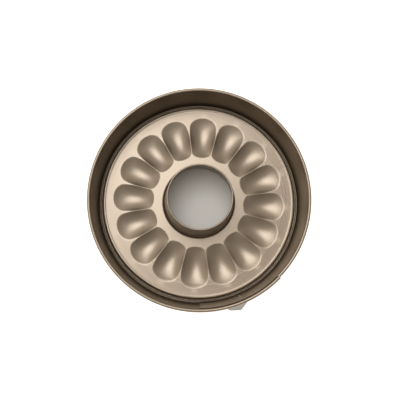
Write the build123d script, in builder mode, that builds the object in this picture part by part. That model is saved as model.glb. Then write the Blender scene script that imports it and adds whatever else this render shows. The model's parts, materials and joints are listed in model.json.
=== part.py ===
from build123d import *
import math
import os

# Springform tube pan: a split spring ring closed by a toggle latch, a stamped base and a centre tube.
# Millimetres, +Z up. The origin is on the pan's axis, on the surface that the ring stands on.
# Bearings are degrees from -Y towards +X. The ring's own sizes are those of its inner layer.

os.makedirs("parts", exist_ok=True)

# Ring
ring_height = 65.0
ring_sheet = 0.6
rim_radius = 133.4
rim_bead = 4.2
rim_curl = 290.0
wall_taper = 3.8
lip_height = 1.5
groove_depth = 2.2
groove_floor = 1.6
groove_blend = 1.0
layer_step = 1.3
overlap = 45.0
end_gap = 0.15

# Base plate
plate_sheet = 0.7
seat_gap = 0.3
hem_width = 3.0
hem_gap = 0.2
plateau_inset = 4.4
plateau_rise = 3.6
edge_bead_width = 3.6
edge_bead_height = 0.8
edge_blend = 0.9
lobe_count = 16
lobe_bearing = 176.5
lobe_inner_inset = 13.7
lobe_outer_inset = 13.0
lobe_depth = 5.0
lobe_axis_height = 28.0
lobe_axis_lean = 19.3

# Centre tube
tube_height = 72.0
tube_foot_radius = 43.8
tube_top_radius = 39.6
tube_sheet = 0.6
tube_curl = 2.0
tube_curl_turn = 250.0
tube_foot_flange = 4.0
tube_bead = 0.9
tube_fit = 0.1

# Latch, from its middle height and the bearing of its middle
latch_height = 33.0
latch_bearing = 20.0
latch_sheet = 1.0
skin_gap = 0.05
pin_fit = 0.05
pivot_standoff = 5.2
lever_pivot_along = -9.5
bail_pivot_along = -0.7
ear_half_height = 10.8
ear_radius = 3.2
ear_root = 7.0
lever_side_gap = 0.3
lever_head_radius = 4.4
crown_standoff = 8.8
crown_along = 0.3
crown_radius = 4.2
tail_standoff = 2.2
tail_along = 16.6
tail_radius = 1.2
tail_bend_standoff = 0.2
tail_bend_along = 21.5
tail_end_standoff = 0.8
tail_end_along = 30.0
tail_blend = 12.0
web_start_along = -6.5
pin_radius = 1.5
pin_head_radius = 2.6
pin_head = 1.0
bail_wire = 2.5
bail_side_gap = 0.5
bail_tail = 3.0
bail_corner = 2.6
bracket_rivet_bearing = 22.6
bracket_rivet_pitch = 15.0
bracket_from = 14.2
bracket_to = 26.5
window_gap = 0.9
window_travel = 8.0
catch_bearing = 7.0
catch_half_height = 8.0
catch_back = 4.2
catch_front = 1.4
lip_half_height = 5.0
lip_lean = 4.0
lip_rise = 3.0
bar_gap = 0.5
rivet_radius = 1.6
rivet_head_radius = 2.5
rivet_head = 1.0
rivet_head_taper = 35.0
rivet_inner_head = 0.3
catch_rivet_back = 5.2
catch_rivet_pitch = 9.0
catch_rivet_head_radius = 2.2
catch_rivet_inner_head = 0.4
drill_over = 0.4

# Worked out from the sizes above
wall_top = rim_radius - rim_bead
wall_foot = wall_top - wall_taper
groove_top = lip_height + 2 * groove_depth + groove_floor
curl_start = ring_height - rim_bead / 2
groove_radius = wall_foot + groove_depth
flange_radius = groove_radius - seat_gap
plateau_radius = wall_foot - plateau_inset
lobe_inner_radius = tube_foot_radius + lobe_inner_inset
lobe_outer_radius = plateau_radius - lobe_outer_inset
hem_thickness = 2 * plate_sheet + hem_gap
seat_level = lip_height + groove_depth - seat_gap + math.sqrt(2) * seat_gap
flange_top = seat_level + hem_thickness
plateau_top = flange_top + plateau_rise
pivot_out = wall_top + pivot_standoff
crown_out = wall_top + crown_standoff
tail_out = wall_top + tail_standoff
tail_bend_out = wall_top + tail_bend_standoff
tail_end_out = wall_top + tail_end_standoff
lever_half_height = ear_half_height + lever_side_gap + latch_sheet
head_level = lever_half_height + skin_gap + pin_head
bail_half_height = head_level + bail_side_gap + bail_wire / 2


def wall_radius(height, layer=0):
    """The inside radius of the wall at a height; layer 1 is the outer layer of the overlap."""
    slope = wall_taper / (curl_start - groove_top)
    return wall_foot + slope * (height - groove_top) + layer * layer_step


def upright(bearing):
    """The upright plane through the pan's axis at a bearing: x outwards, y up."""
    turn = math.radians(bearing - 90)
    outward = (math.cos(turn), math.sin(turn), 0)
    return Plane(origin=(0, 0, 0), x_dir=outward, z_dir=(outward[1], -outward[0], 0))


def level(bearing, height):
    """The level plane at a height: x outwards at a bearing, y along the wall with the bearing."""
    turn = math.radians(bearing - 90)
    return Plane(origin=(0, 0, height), x_dir=(math.cos(turn), math.sin(turn), 0), z_dir=(0, 0, 1))


def on_wall(bearing, height, layer=0):
    """The plane that lies on a layer's inside at a bearing and height, its normal pointing outwards."""
    turn = math.radians(bearing - 90)
    outward = (math.cos(turn), math.sin(turn), 0)
    radius = wall_radius(height, layer)
    place = (radius * outward[0], radius * outward[1], height)
    slope = math.degrees(math.atan(wall_taper / (curl_start - groove_top)))
    return Plane(origin=place, x_dir=(-outward[1], outward[0], 0), z_dir=outward).rotated((slope, 0, 0))


def band_section(plane, shift, curled):
    """The band's section from foot to rim, moved outwards by shift; only a curled one has the rolled rim."""
    foot = wall_foot + shift
    deep = foot + groove_depth
    bend = lip_height + groove_depth
    with BuildSketch(plane) as section:
        with BuildLine():
            wall = FilletPolyline(
                (foot, 0),
                (foot, lip_height),
                (deep, bend),
                (deep, bend + groove_floor),
                (foot, groove_top),
                (wall_top + shift, curl_start),
                radius=groove_blend,
            )
            if curled:
                JernArc(wall @ 1, wall % 1, rim_bead / 2, -rim_curl)
            offset(amount=ring_sheet, side=Side.RIGHT)
        make_face()
    return section.sketch


def cone_section(plane, inner, outer, low, high):
    """A strip of the wall's slope from low to high, between two distances from the inner layer's inside."""
    with BuildSketch(plane) as section:
        with BuildLine():
            Polyline(
                (wall_radius(low) + inner, low),
                (wall_radius(low) + outer, low),
                (wall_radius(high) + outer, high),
                (wall_radius(high) + inner, high),
                close=True,
            )
        make_face()
    return section.sketch


# Spring ring: one band that spirals out by one step in a turn, so that its ends overlap
half_step_axis = Axis((0, -layer_step / 2, 0), (0, 0, 1))
half_step_plane = Plane(origin=(0, -layer_step / 2, 0), x_dir=(0, 1, 0), z_dir=(1, 0, 0))
window_low = latch_height - ear_half_height - window_gap
window_high = latch_height + ear_half_height + window_gap
window_from = bracket_from - math.degrees(window_gap / wall_top)
window_turn = bracket_to + window_travel - window_from
bracket_rivet_levels = [latch_height + s * bracket_rivet_pitch / 2 for s in (-1, 1)]
catch_rivet_levels = [latch_height + s * catch_rivet_pitch / 2 for s in (-1, 1)]
catch_rivet_bearing = catch_bearing - math.degrees(catch_rivet_back / wall_top)

with BuildPart() as spring_ring:
    revolve(band_section(upright(0), layer_step, True), axis=Axis.Z, revolution_arc=overlap)
    window = cone_section(upright(window_from), layer_step - drill_over, layer_step + ring_sheet + drill_over,
                          window_low, window_high)
    revolve(window, axis=Axis.Z, revolution_arc=window_turn, mode=Mode.SUBTRACT)
    with Locations(*[on_wall(catch_rivet_bearing, z, 1) for z in catch_rivet_levels]):
        Cylinder(rivet_radius + pin_fit, 2 * layer_step, mode=Mode.SUBTRACT)
    revolve(band_section(upright(0), 0, False), axis=Axis.Z, revolution_arc=overlap + end_gap)
    with Locations(*[on_wall(bracket_rivet_bearing, z) for z in bracket_rivet_levels]):
        Cylinder(rivet_radius + pin_fit, 2 * ring_sheet + drill_over, mode=Mode.SUBTRACT)
    revolve(band_section(upright(overlap + end_gap), 0, True), axis=Axis.Z,
            revolution_arc=180 - overlap - end_gap)
    revolve(band_section(half_step_plane, layer_step / 2, True), axis=half_step_axis, revolution_arc=180)
spring_ring.part.label = "spring_ring"
export_step(spring_ring.part, "parts/spring_ring.step")

# Base plate: one sheet with a hemmed flange, a raised plateau with a bead round it, and pressed lobes
lobe_middle = (lobe_inner_radius + lobe_outer_radius) / 2
lobe_half_length = (lobe_outer_radius - lobe_inner_radius) / 2
lobe_sag_radius = (lobe_half_length ** 2 + lobe_depth ** 2) / (2 * lobe_depth)
plate_hole = tube_foot_radius + tube_fit


def lobe_form(thickness):
    """A barrel lying along +X, wider outwards, whose belly presses a lobe; thickness is added all round."""
    sag_level = plateau_top - lobe_depth + lobe_sag_radius
    axis_level = plateau_top + lobe_axis_height
    with BuildSketch(Plane.XZ) as belly:
        with Locations((lobe_middle, sag_level)):
            Circle(lobe_sag_radius + thickness)
        with Locations(Location((lobe_middle, axis_level), lobe_axis_lean)):
            Rectangle(4 * lobe_sag_radius, 4 * lobe_sag_radius, align=(Align.CENTER, Align.MIN),
                      mode=Mode.SUBTRACT)
    lean = math.radians(lobe_axis_lean)
    axis = Axis((lobe_middle, 0, axis_level), (math.cos(lean), 0, math.sin(lean)))
    with BuildPart() as form:
        revolve(belly.sketch, axis=axis)
        with Locations((0, 0, plateau_top)):
            Box(4 * wall_top, 4 * wall_top, 4 * wall_top, align=(Align.CENTER, Align.CENTER, Align.MIN),
                mode=Mode.SUBTRACT)
    return form.part


lobe_press = lobe_form(0)
lobe_skin = lobe_form(plate_sheet)
with BuildPart() as base_plate:
    with BuildSketch(Plane.XZ) as base_section:
        with BuildLine():
            hem_outer = hem_thickness / 2
            crest_from = plateau_radius - edge_bead_width
            top_line = FilletPolyline(
                (plate_hole, plateau_top),
                (crest_from - edge_bead_height, plateau_top),
                (crest_from + edge_blend, plateau_top + edge_bead_height),
                (plateau_radius - plate_sheet, plateau_top + edge_bead_height),
                (plateau_radius, flange_top),
                (flange_radius - hem_outer, flange_top),
                radius=edge_blend,
            )
            hem_bend = JernArc(top_line @ 1, (1, 0), hem_outer, -180)
            Line(hem_bend @ 1, (flange_radius - hem_width, seat_level))
            offset(amount=plate_sheet, side=Side.RIGHT)
        make_face()
    revolve(axis=Axis.Z)
    with PolarLocations(0, lobe_count, start_angle=lobe_bearing - 90):
        add(lobe_skin)
    with PolarLocations(0, lobe_count, start_angle=lobe_bearing - 90):
        add(lobe_press, mode=Mode.SUBTRACT)
base_plate.part.label = "base_plate"
export_step(base_plate.part, "parts/base_plate.step")

# Centre tube: a tapered sheet tube, rolled in at the top and locked in the plate's hole at the foot
with BuildPart() as centre_tube:
    with BuildSketch(Plane.XZ):
        with BuildLine():
            under = plateau_top - plate_sheet - tube_fit
            bead_level = plateau_top + tube_fit
            tube_wall = Polyline(
                (tube_foot_radius + tube_foot_flange, under),
                (tube_foot_radius, under),
                (tube_foot_radius, bead_level),
                (tube_foot_radius + tube_bead, bead_level + tube_bead),
                (tube_foot_radius - tube_sheet / 2, bead_level + 2 * tube_bead),
                (tube_top_radius, tube_height - tube_curl / 2),
            )
            JernArc(tube_wall @ 1, tube_wall % 1, tube_curl / 2, tube_curl_turn)
            offset(amount=tube_sheet, side=Side.LEFT)
        make_face()
    revolve(axis=Axis.Z)
centre_tube.part.label = "centre_tube"
export_step(centre_tube.part, "parts/centre_tube.step")

# Latch bracket: a plate on the inner layer that stands through the window, with two ears for the pin
bracket_level = level(latch_bearing, latch_height)
plate_inner = ring_sheet + skin_gap
plate_outer = plate_inner + latch_sheet
with BuildPart() as latch_bracket:
    with BuildSketch(bracket_level.offset(ear_half_height)):
        with Locations((pivot_out, lever_pivot_along)):
            Circle(ear_radius)
        with Locations((wall_top - ear_radius, lever_pivot_along)):
            Rectangle(ear_radius, ear_root)
        make_hull()
    extrude(amount=-latch_sheet)
    mirror(about=bracket_level)
    back = cone_section(upright(bracket_from - ear_radius), plate_inner - 2 * ear_root, plate_inner,
                        window_low - ear_radius, window_high + ear_radius)
    revolve(back, axis=Axis.Z, revolution_arc=bracket_to, mode=Mode.SUBTRACT)
    plate = cone_section(upright(bracket_from), plate_inner, plate_outer,
                         latch_height - ear_half_height, latch_height + ear_half_height)
    revolve(plate, axis=Axis.Z, revolution_arc=bracket_to - bracket_from)
    with Locations(bracket_level * Location((pivot_out, lever_pivot_along, 0))):
        Cylinder(pin_radius + pin_fit, 3 * ear_half_height, mode=Mode.SUBTRACT)
    with Locations(*[on_wall(bracket_rivet_bearing, z) for z in bracket_rivet_levels]):
        Cylinder(rivet_radius + pin_fit, 4 * plate_outer, mode=Mode.SUBTRACT)
latch_bracket.part.label = "latch_bracket"
export_step(latch_bracket.part, "parts/latch_bracket.step")


def rivets(bearing, heights, layer, inner_head, head_radius):
    """Rivets through one layer and a plate: a shank, a domed head outside and a flat one inside."""
    with BuildPart() as group:
        for height in heights:
            seat = on_wall(bearing, height, layer)
            with BuildSketch(seat.offset(-inner_head - skin_gap)):
                Circle(head_radius)
            extrude(amount=inner_head)
            with BuildSketch(seat.offset(-skin_gap)):
                Circle(rivet_radius)
            extrude(amount=plate_outer + 2 * skin_gap)
            with BuildSketch(seat.offset(plate_outer + skin_gap)):
                Circle(head_radius)
            extrude(amount=rivet_head, taper=rivet_head_taper)
    return group.part


bracket_rivets = rivets(bracket_rivet_bearing, bracket_rivet_levels, 0, rivet_inner_head, rivet_head_radius)
bracket_rivets.label = "bracket_rivets"
export_step(bracket_rivets, "parts/bracket_rivets.step")

# Catch: a plate on the outer layer whose end is turned out into a lip that holds the bail's bar
bar_radius = wall_radius(latch_height + catch_half_height, 1) + plate_outer + bar_gap + bail_wire / 2
catch_level = level(catch_bearing, latch_height)
lip_face = bail_wire / 2 + bar_gap
catch_from = catch_bearing - math.degrees((catch_back + 2 * rivet_head_radius) / wall_top)
catch_to = catch_bearing + math.degrees((lip_face + catch_front) / wall_top)
with BuildPart() as catch:
    with BuildSketch(catch_level.offset(-lip_half_height)):
        with BuildLine():
            lean = lip_rise * math.tan(math.radians(lip_lean))
            root = bar_radius - 3 * bail_wire
            crest = bar_radius + lip_rise - bail_wire / 2
            Polyline(
                (root, lip_face),
                (bar_radius - bail_wire / 2, lip_face),
                (crest, lip_face - lean),
                (crest, lip_face - lean + latch_sheet),
                (bar_radius - bail_wire / 2, lip_face + latch_sheet),
                (root, lip_face + latch_sheet),
                close=True,
            )
        make_face()
    extrude(amount=2 * lip_half_height)
    back = cone_section(upright(catch_from - ear_radius), layer_step + plate_inner - 3 * bail_wire,
                        layer_step + plate_inner, window_low, window_high)
    revolve(back, axis=Axis.Z, revolution_arc=catch_to - catch_from + 2 * ear_radius, mode=Mode.SUBTRACT)
    plate = cone_section(upright(catch_from), layer_step + plate_inner, layer_step + plate_outer,
                         latch_height - catch_half_height, latch_height + catch_half_height)
    revolve(plate, axis=Axis.Z, revolution_arc=catch_to - catch_from)
    with Locations(*[on_wall(catch_rivet_bearing, z, 1) for z in catch_rivet_levels]):
        Cylinder(rivet_radius + pin_fit, 4 * plate_outer, mode=Mode.SUBTRACT)
catch.part.label = "catch"
export_step(catch.part, "parts/catch.step")

catch_rivets = rivets(catch_rivet_bearing, catch_rivet_levels, 1, catch_rivet_inner_head,
                      catch_rivet_head_radius)
catch_rivets.label = "catch_rivets"
export_step(catch_rivets, "parts/catch_rivets.step")


def lever_outline(inset, reach):
    """The lever's plan, drawn in by inset and stretched towards the wall by reach."""
    rounds = [
        (pivot_out, lever_pivot_along, lever_head_radius),
        (crown_out, crown_along, crown_radius),
        (tail_out, tail_along, tail_radius + inset / 2),
    ]
    for out, along, radius in rounds:
        for back in (0, reach):
            with Locations((out - back, along)):
                Circle(radius - inset)
    make_hull()


# Lever: a pressed channel with a web outside, two cheeks for the pivots and a plain tail to pull
with BuildPart() as lever:
    with BuildSketch(bracket_level.offset(-lever_half_height)):
        lever_outline(0, 0)
    extrude(amount=2 * lever_half_height)
    inner_half = lever_half_height - latch_sheet
    with BuildSketch(bracket_level.offset(-inner_half)):
        lever_outline(latch_sheet, 2 * ear_root)
        with Locations((pivot_out, web_start_along)):
            Rectangle(6 * ear_root, 4 * ear_root, align=(Align.CENTER, Align.MAX))
    extrude(amount=2 * inner_half, mode=Mode.SUBTRACT)
    with BuildSketch(bracket_level.offset(-lever_half_height)):
        with BuildLine():
            turn = math.atan2(crown_out - tail_out, tail_along - crown_along)
            turn += math.asin((crown_radius - tail_radius) / math.hypot(crown_out - tail_out,
                                                                        tail_along - crown_along))
            tail_line = FilletPolyline(
                (tail_out + tail_radius * math.cos(turn), tail_along + tail_radius * math.sin(turn)),
                (tail_bend_out, tail_bend_along),
                (tail_end_out, tail_end_along),
                radius=tail_blend,
            )
            offset(amount=latch_sheet, side=Side.LEFT)
        make_face()
    extrude(amount=2 * lever_half_height)
    with Locations(bracket_level * Location((pivot_out, lever_pivot_along, 0))):
        Cylinder(pin_radius + pin_fit, 3 * lever_half_height, mode=Mode.SUBTRACT)
    with Locations(bracket_level * Location((pivot_out, bail_pivot_along, 0))):
        Cylinder(bail_wire / 2 + pin_fit, 3 * lever_half_height, mode=Mode.SUBTRACT)
lever.part.label = "lever"
export_step(lever.part, "parts/lever.step")

# Lever pin: headed at both ends, through the ears and the lever's cheeks
with BuildPart() as lever_pin:
    with Locations(bracket_level * Location((pivot_out, lever_pivot_along, 0))):
        Cylinder(pin_radius, 2 * (lever_half_height + skin_gap))
        for side in (-1, 1):
            with Locations((0, 0, side * (lever_half_height + skin_gap + pin_head / 2))):
                Cylinder(pin_head_radius, pin_head)
lever_pin.part.label = "lever_pin"
export_step(lever_pin.part, "parts/lever_pin.step")

# Bail: one bent wire, whose ends turn into the lever's cheeks and whose far bar lies behind the lip
bar_turn = math.radians(catch_bearing - latch_bearing)
bar_out = bar_radius * math.cos(bar_turn)
bar_along = bar_radius * math.sin(bar_turn)
bail_reach = math.hypot(bar_out - pivot_out, bar_along - bail_pivot_along)
bail_lean = math.degrees(math.atan2(bar_along - bail_pivot_along, bar_out - pivot_out))
bail_plane = Plane(bracket_level * Location((pivot_out, bail_pivot_along, 0), (0, 0, bail_lean)))
bail_plane = Plane(origin=bail_plane.origin, x_dir=bail_plane.x_dir, z_dir=-bail_plane.y_dir)
with BuildPart() as bail:
    with BuildLine(bail_plane) as bail_path:
        FilletPolyline(
            (0, lever_half_height - bail_tail),
            (0, bail_half_height),
            (bail_reach, bail_half_height),
            (bail_reach, -bail_half_height),
            (0, -bail_half_height),
            (0, bail_tail - lever_half_height),
            radius=bail_corner,
        )
    with BuildSketch(Plane(origin=bail_path.line @ 0, z_dir=bail_path.line % 0)):
        Circle(bail_wire / 2)
    sweep()
bail.part.label = "bail"
export_step(bail.part, "parts/bail.step")
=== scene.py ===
import json
import math
import bmesh
import bpy
from mathutils import Matrix, Vector


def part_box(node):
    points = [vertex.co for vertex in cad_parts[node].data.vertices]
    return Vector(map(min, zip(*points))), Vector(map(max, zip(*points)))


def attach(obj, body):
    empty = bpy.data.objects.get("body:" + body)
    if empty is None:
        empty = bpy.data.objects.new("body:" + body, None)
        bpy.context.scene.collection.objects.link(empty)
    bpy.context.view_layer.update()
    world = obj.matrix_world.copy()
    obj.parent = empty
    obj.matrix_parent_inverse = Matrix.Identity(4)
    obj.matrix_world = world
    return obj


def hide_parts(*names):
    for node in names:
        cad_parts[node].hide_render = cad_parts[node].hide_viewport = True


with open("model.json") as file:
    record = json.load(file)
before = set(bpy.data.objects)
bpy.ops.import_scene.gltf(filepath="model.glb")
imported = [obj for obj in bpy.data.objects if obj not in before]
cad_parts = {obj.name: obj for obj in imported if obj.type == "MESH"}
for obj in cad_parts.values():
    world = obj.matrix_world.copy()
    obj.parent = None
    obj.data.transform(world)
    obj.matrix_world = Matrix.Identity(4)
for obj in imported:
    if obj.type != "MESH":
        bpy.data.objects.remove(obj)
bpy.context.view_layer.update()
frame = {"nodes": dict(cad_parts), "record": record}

# Levels and reaches in metres, read off the frame
ring_low, ring_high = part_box("spring_ring")
standing_level = ring_low[2]
rim_level = ring_high[2]
rim_reach = ring_high[0]
tube_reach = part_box("centre_tube")[1][0]

# The drawn base plate in millimetres, from the tube's hole outwards
mm = 0.001
plate_hole = 43.9
plate_sheet = 0.7
plateau_top = 9.024
crest_foot = 117.8
crest_slope = 1.3
crest_rise = 0.4
crest_shoulder = 0.7
plateau_radius = 121.8
gutter_middle = 2.2
gutter_width = 4.5
gutter_depth = 4.0
flange_top = 5.424
flange_radius = 127.3
hem_thickness = 1.6
hem_fold = 3.0
edge_blend = 0.9

# The lobes pressed into the plate, in millimetres and degrees
lobe_count = 16
lobe_bearing = 176.5
lobe_from = 57.0
lobe_to = 109.0
lobe_depth = 5.0
lobe_ridge = 0.15
lobe_half_width = 17.0
lobe_inner_cap = 5.5
lobe_outer_cap = 13.0
lobe_side_blend = 0.5
lobe_edge_blend = 0.02

# How finely the plate is divided
inner_row_pitch = 3.4
inner_rows = 3
lobe_row_pitch = 0.75
lobe_rows = 72
lobe_rows_lead = 1.0
steps_per_lobe = 32
ridge_crowding = 0.4
hem_steps = 8

# The press leaves draw ripples from this radius outwards, in metres
ripple_from = 0.094
ripple_fade = 0.012

# The camera looks down into the pan, a little from the front and the left
view_distance = 0.75
view_tilt_x = math.radians(-1.4)
view_tilt_y = math.radians(-5.9)
view_lens = 56.9
view_sensor = 36.0
view_shift = (0.0002, -0.0061)
view_target = Vector((0.0, 0.0, rim_level))

# The lamp, the room and the table
overhead_size = 0.76
overhead_distance = 1.25
overhead_lean_west = math.radians(7.5)
overhead_lean_north = math.radians(12.0)
overhead_power = 5.9
room_dark = 0.45
room_bright = 1.3
room_spread = 0.8
north_west = (-0.7071, 0.7071, 0.0)
table_half_size = 6.0
table_drop = 0.0002
table_glow = 0.75


def linear(code):
    """An sRGB hex colour as linear RGBA."""
    channels = [int(code[i:i + 2], 16) / 255 for i in (1, 3, 5)]
    return [c / 12.92 if c <= 0.04045 else ((c + 0.055) / 1.055) ** 2.4 for c in channels] + [1.0]


def add_node(tree, kind, settings=None, links=None):
    """Adds a node with its settings, and its inputs as values or as sockets to link from."""
    new = tree.nodes.new(kind)
    for name, value in (settings or {}).items():
        setattr(new, name, value)
    for name, value in (links or {}).items():
        if isinstance(value, bpy.types.NodeSocket):
            tree.links.new(value, new.inputs[name])
        else:
            new.inputs[name].default_value = value
    return new


def new_material(name):
    """An empty node material and its output node."""
    made = bpy.data.materials.new(name)
    made.use_nodes = True
    made.node_tree.nodes.clear()
    return made, add_node(made.node_tree, "ShaderNodeOutputMaterial")


def maths(tree, operation, *values):
    """One maths operation over one or two values."""
    links = {place: value for place, value in enumerate(values)}
    return add_node(tree, "ShaderNodeMath", {"operation": operation}, links).outputs[0]


def draw_ripples(tree, place, normal):
    """The sheet's draw ripples: 2 mm wide, up to 100 mm long, running round the plate."""
    parts = add_node(tree, "ShaderNodeSeparateXYZ", None, {"Vector": place})
    turn = maths(tree, "ARCTAN2", parts.outputs["Y"], parts.outputs["X"])
    squares = maths(tree, "ADD", maths(tree, "POWER", parts.outputs["X"], 2.0),
                    maths(tree, "POWER", parts.outputs["Y"], 2.0))
    radius = maths(tree, "SQRT", squares)
    spread = add_node(tree, "ShaderNodeCombineXYZ", None, {
        "X": maths(tree, "MULTIPLY", radius, 500.0), "Y": maths(tree, "SINE", turn),
        "Z": maths(tree, "COSINE", turn)})
    wave = add_node(tree, "ShaderNodeTexNoise", None, {
        "Vector": spread.outputs["Vector"], "Scale": 1.0, "Detail": 2.0, "Distortion": 0.6})
    near = add_node(tree, "ShaderNodeMapRange", None, {
        "Value": radius, "From Min": ripple_from, "From Max": ripple_from + ripple_fade})
    height = maths(tree, "MULTIPLY", wave.outputs["Fac"], near.outputs["Result"])
    return add_node(tree, "ShaderNodeBump", None, {
        "Strength": 0.35, "Distance": 0.0003, "Height": height,
        "Normal": normal}).outputs["Normal"]


def champagne_coating(name, drawn):
    """Sprayed and baked non-stick coating with metal flake, on steel.

    It gives a warm satin sheen, a little cloudy over about 35 mm, under a faint clear gloss.
    On a drawn sheet the ripples of the press show through it."""
    made, output = new_material(name)
    tree = made.node_tree
    place = add_node(tree, "ShaderNodeTexCoord").outputs["Object"]
    cloud = add_node(tree, "ShaderNodeTexNoise", None, {
        "Vector": place, "Scale": 28.0, "Detail": 3.0})
    tint = add_node(tree, "ShaderNodeMix", {"data_type": "RGBA"}, {
        "Factor": cloud.outputs["Fac"], "A": linear("#827668"), "B": linear("#887D70")})
    # Real flakes are under 0.1 mm and wouldn't show, so these are 0.4 mm across
    flake = add_node(tree, "ShaderNodeTexVoronoi", None, {"Vector": place, "Scale": 2500.0})
    normal = add_node(tree, "ShaderNodeBump", None, {
        "Strength": 0.10, "Distance": 0.00005,
        "Height": flake.outputs["Color"]}).outputs["Normal"]
    if drawn:
        normal = draw_ripples(tree, place, normal)
    rough = add_node(tree, "ShaderNodeMapRange", None, {
        "Value": cloud.outputs["Fac"], "To Min": 0.30, "To Max": 0.36})
    shader = add_node(tree, "ShaderNodeBsdfPrincipled", None, {
        "Base Color": tint.outputs["Result"], "Metallic": 0.95,
        "Roughness": rough.outputs["Result"], "Specular Tint": linear("#B8B0A2"),
        "Coat Weight": 0.6, "Coat Roughness": 0.28, "Normal": normal})
    tree.links.new(shader.outputs["BSDF"], output.inputs["Surface"])
    return made


def bright_nickel():
    """Pressed steel, barrel-plated with nickel: bright and smooth, with wear in 11 mm patches."""
    made, output = new_material("bright_nickel_plating")
    tree = made.node_tree
    place = add_node(tree, "ShaderNodeTexCoord").outputs["Object"]
    wear = add_node(tree, "ShaderNodeTexNoise", None, {
        "Vector": place, "Scale": 90.0, "Detail": 4.0})
    rough = add_node(tree, "ShaderNodeMapRange", None, {
        "Value": wear.outputs["Fac"], "To Min": 0.10, "To Max": 0.18})
    shader = add_node(tree, "ShaderNodeBsdfPrincipled", None, {
        "Base Color": linear("#B0B2B4"), "Metallic": 1.0, "Roughness": rough.outputs["Result"]})
    tree.links.new(shader.outputs["BSDF"], output.inputs["Surface"])
    return made


def dress_solids(finishes, drawn_coating):
    """Gives each solid the finish of its slot, and the base plate that of a drawn sheet."""
    for part in frame["record"]["subparts"]:
        data = frame["nodes"][part["node"]].data
        drawn = part["node"] == "base_plate"
        data.materials.clear()
        data.materials.append(drawn_coating if drawn else finishes[part["material_slot"]])
        for face in data.polygons:
            face.use_smooth = True


def rounded(points, radius, steps=4):
    """A polyline in (radius, height) with its inner corners rounded."""
    path = [Vector(points[0])]
    for before, corner, after in zip(points, points[1:], points[2:]):
        before, corner, after = Vector(before), Vector(corner), Vector(after)
        into, out = (corner - before).normalized(), (after - corner).normalized()
        turn = into.angle(out)
        reach = min(radius * math.tan(turn / 2),
                    (corner - before).length / 2, (after - corner).length / 2)
        start, end = corner - into * reach, corner + out * reach
        for i in range(steps + 1):
            t = i / steps
            path.append(start.lerp(corner, t).lerp(corner.lerp(end, t), t))
    path.append(Vector(points[-1]))
    return path


def spun(path, steps):
    """A path in millimetres turned once round the pan's axis, in metres."""
    mesh = bmesh.new()
    row = [mesh.verts.new((point[0] * mm, 0, point[1] * mm)) for point in path]
    edges = [mesh.edges.new(pair) for pair in zip(row, row[1:])]
    bmesh.ops.spin(mesh, geom=row + edges, cent=(0, 0, 0), axis=(0, 0, 1), angle=2 * math.pi,
                   steps=steps, use_merge=True)
    bmesh.ops.remove_doubles(mesh, verts=mesh.verts[:], dist=1e-7)
    return mesh


def plate_path():
    """The plate's half section in (radius, height): plateau, crest, step, gutter, flange, hem."""
    line = rounded([
        (plate_hole, plateau_top),
        (crest_foot, plateau_top),
        (crest_foot + crest_slope, plateau_top + crest_rise),
        (plateau_radius - crest_shoulder, plateau_top + crest_rise),
        (plateau_radius, flange_top),
        (plateau_radius + gutter_middle, flange_top - gutter_depth),
        (plateau_radius + gutter_width, flange_top),
        (flange_radius - hem_thickness / 2, flange_top)], edge_blend)
    inner = [plate_hole + inner_row_pitch * (i + 1) for i in range(inner_rows)]
    lobes = [lobe_from - lobe_rows_lead + lobe_row_pitch * i for i in range(lobe_rows)]
    path = [line[0]] + [Vector((radius, plateau_top)) for radius in inner + lobes] + line[1:]
    hem = Vector((flange_radius - hem_thickness / 2, flange_top - hem_thickness / 2))
    for i in range(hem_steps):
        turn = math.radians(90 - 180 * (i + 1) / hem_steps)
        path.append(hem + hem_thickness / 2 * Vector((math.cos(turn), math.sin(turn))))
    path.append(Vector((flange_radius - hem_fold, flange_top - hem_thickness)))
    return path


def lobe_drop(along, across):
    """How far a pressed lobe lies under the plateau, in millimetres, at a place on its axis."""
    length = 2 * (along - lobe_from) / (lobe_to - lobe_from) - 1
    if abs(length) >= 1:
        return 0.0
    # Its sides follow the next lobe's, then run parallel, blended by a smooth minimum
    half_pitch = along * math.tan(math.pi / lobe_count) - lobe_ridge / 2
    both = math.exp(-half_pitch / lobe_side_blend) + math.exp(-lobe_half_width / lobe_side_blend)
    half_width = min(-lobe_side_blend * math.log(both), half_pitch)
    outer = max(0.0, (along - (lobe_to - lobe_outer_cap)) / lobe_outer_cap)
    inner = max(0.0, (lobe_from + lobe_inner_cap - along) / lobe_inner_cap)
    half_width *= math.sqrt(max(1e-6, (1 - outer ** 2) * (1 - inner ** 2)))
    width = across / half_width
    if width >= 1:
        return 0.0
    full = (1 - length * length) * (1 - width * width)
    return lobe_depth * (math.sqrt(full * full + lobe_edge_blend ** 2) - lobe_edge_blend)


def press_lobes(mesh):
    """Crowds a spun plate's columns towards the ridges, and sinks the lobes between them."""
    pitch = 2 * math.pi / lobe_count
    first = math.radians(lobe_bearing - 90)
    for v in mesh.verts:
        radius = math.hypot(v.co.x, v.co.y)
        place = (math.atan2(v.co.y, v.co.x) - first) / pitch
        lobe = round(place)
        offset = place - lobe
        crowded = ridge_crowding * math.sin(math.pi * offset) + (1 - 2 * ridge_crowding) * offset
        drop = 0.0
        if abs(v.co.z - plateau_top * mm) < 1e-6:
            lean = crowded * pitch
            drop = lobe_drop(radius / mm * math.cos(lean), abs(radius / mm * math.sin(lean)))
        turn = (lobe + crowded) * pitch + first
        v.co = Vector((radius * math.cos(turn), radius * math.sin(turn), v.co.z - drop * mm))


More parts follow.
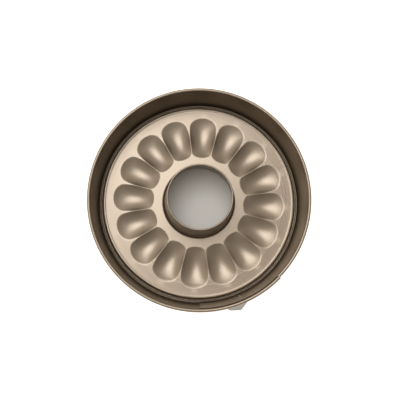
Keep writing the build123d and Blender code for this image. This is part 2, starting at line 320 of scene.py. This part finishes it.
def drawn_plate(finish):
    """The base plate's sheet, in place of the solid: stamped lobes, drawn edge and hem."""
    mesh = spun(plate_path(), lobe_count * steps_per_lobe)
    press_lobes(mesh)
    bmesh.ops.recalc_face_normals(mesh, faces=mesh.faces[:])
    if sum(face.normal.z * face.calc_area() for face in mesh.faces) < 0:
        bmesh.ops.reverse_faces(mesh, faces=mesh.faces[:])
    bmesh.ops.solidify(mesh, geom=mesh.faces[:], thickness=plate_sheet * mm)
    data = bpy.data.meshes.new("drawn_base_plate")
    mesh.to_mesh(data)
    mesh.free()
    data.materials.append(finish)
    for face in data.polygons:
        face.use_smooth = True
    piece = bpy.data.objects.new("drawn_base_plate", data)
    bpy.context.scene.collection.objects.link(piece)
    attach(piece, "base")
    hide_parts("base_plate")


def table():
    """A plain white table top: even white round the pan, and its own shade inside the tube."""
    made, output = new_material("white_table")
    tree = made.node_tree
    path = add_node(tree, "ShaderNodeLightPath")
    seen = maths(tree, "MAXIMUM", path.outputs["Is Camera Ray"], path.outputs["Is Glossy Ray"])
    seen = maths(tree, "MAXIMUM", seen, path.outputs["Is Transmission Ray"])
    place = add_node(tree, "ShaderNodeTexCoord").outputs["Object"]
    away = add_node(tree, "ShaderNodeVectorMath", {"operation": "LENGTH"}, {0: place})
    outside = add_node(tree, "ShaderNodeMapRange", None, {
        "Value": away.outputs["Value"], "From Min": tube_reach, "From Max": rim_reach})
    white = maths(tree, "MULTIPLY", seen, outside.outputs["Result"])
    shader = add_node(tree, "ShaderNodeBsdfPrincipled", None, {
        "Base Color": linear("#F0F0EE"), "Roughness": 0.9, "Emission Color": linear("#FFFFFF"),
        "Emission Strength": maths(tree, "MULTIPLY", white, table_glow)})
    tree.links.new(shader.outputs["BSDF"], output.inputs["Surface"])
    # The table lies a hair under the ring's standing edge, so that their faces don't coincide
    sheet = bmesh.new()
    bmesh.ops.create_grid(sheet, x_segments=1, y_segments=1, size=table_half_size,
                          matrix=Matrix.Translation((0, 0, standing_level - table_drop)))
    data = bpy.data.meshes.new("table_top")
    sheet.to_mesh(data)
    sheet.free()
    data.materials.append(made)
    top = bpy.data.objects.new("table_top", data)
    bpy.context.scene.collection.objects.link(top)


def room():
    """A pale room that is brighter towards its window in the north-west."""
    world = bpy.data.worlds.new("studio")
    bpy.context.scene.world = world
    world.use_nodes = True
    tree = world.node_tree
    tree.nodes.clear()
    output = add_node(tree, "ShaderNodeOutputWorld")
    place = add_node(tree, "ShaderNodeTexCoord").outputs["Object"]
    towards = add_node(tree, "ShaderNodeVectorMath", {"operation": "DOT_PRODUCT"}, {
        0: place, 1: north_west}).outputs["Value"]
    level = add_node(tree, "ShaderNodeMapRange", None, {
        "Value": towards, "From Min": -room_spread, "From Max": room_spread,
        "To Min": room_dark, "To Max": room_bright})
    light = add_node(tree, "ShaderNodeBackground", None, {
        "Color": linear("#FFF4E4"), "Strength": level.outputs["Result"]})
    tree.links.new(light.outputs["Background"], output.inputs["Surface"])


def overhead():
    """A round soft box over the pan, leaning to the north-west."""
    lamp = bpy.data.lights.new("overhead_softbox", "AREA")
    lamp.shape = "DISK"
    lamp.size = overhead_size
    lamp.energy = overhead_power
    holder = bpy.data.objects.new("overhead_softbox", lamp)
    lean = Vector((-math.tan(overhead_lean_west), math.tan(overhead_lean_north), 1.0))
    holder.location = view_target + overhead_distance * lean
    holder.rotation_euler = (view_target - holder.location).to_track_quat("-Z", "Y").to_euler()
    bpy.context.scene.collection.objects.link(holder)


def camera():
    """The photograph's camera, with +Y up in the picture."""
    lens = bpy.data.cameras.new("camera")
    lens.lens = view_lens
    lens.sensor_width = view_sensor
    lens.shift_x, lens.shift_y = view_shift
    holder = bpy.data.objects.new("camera", lens)
    away = Vector((math.sin(view_tilt_x), math.sin(view_tilt_y), 0))
    away.z = math.sqrt(1 - away.length_squared)
    across = Vector((1, 0, 0))
    across = (across - across.dot(away) * away).normalized()
    turn = Matrix((across, away.cross(across), away)).transposed().to_4x4()
    holder.matrix_world = Matrix.Translation(view_target + view_distance * away) @ turn
    bpy.context.scene.collection.objects.link(holder)
    bpy.context.scene.camera = holder


coating = champagne_coating("champagne_nonstick_coating", drawn=False)
drawn_coating = champagne_coating("champagne_nonstick_coating_on_drawn_sheet", drawn=True)
dress_solids({"coated_steel": coating, "bright_steel": bright_nickel()}, drawn_coating)
drawn_plate(drawn_coating)
table()
room()
overhead()
camera()
bpy.context.scene.view_settings.view_transform = "Standard"
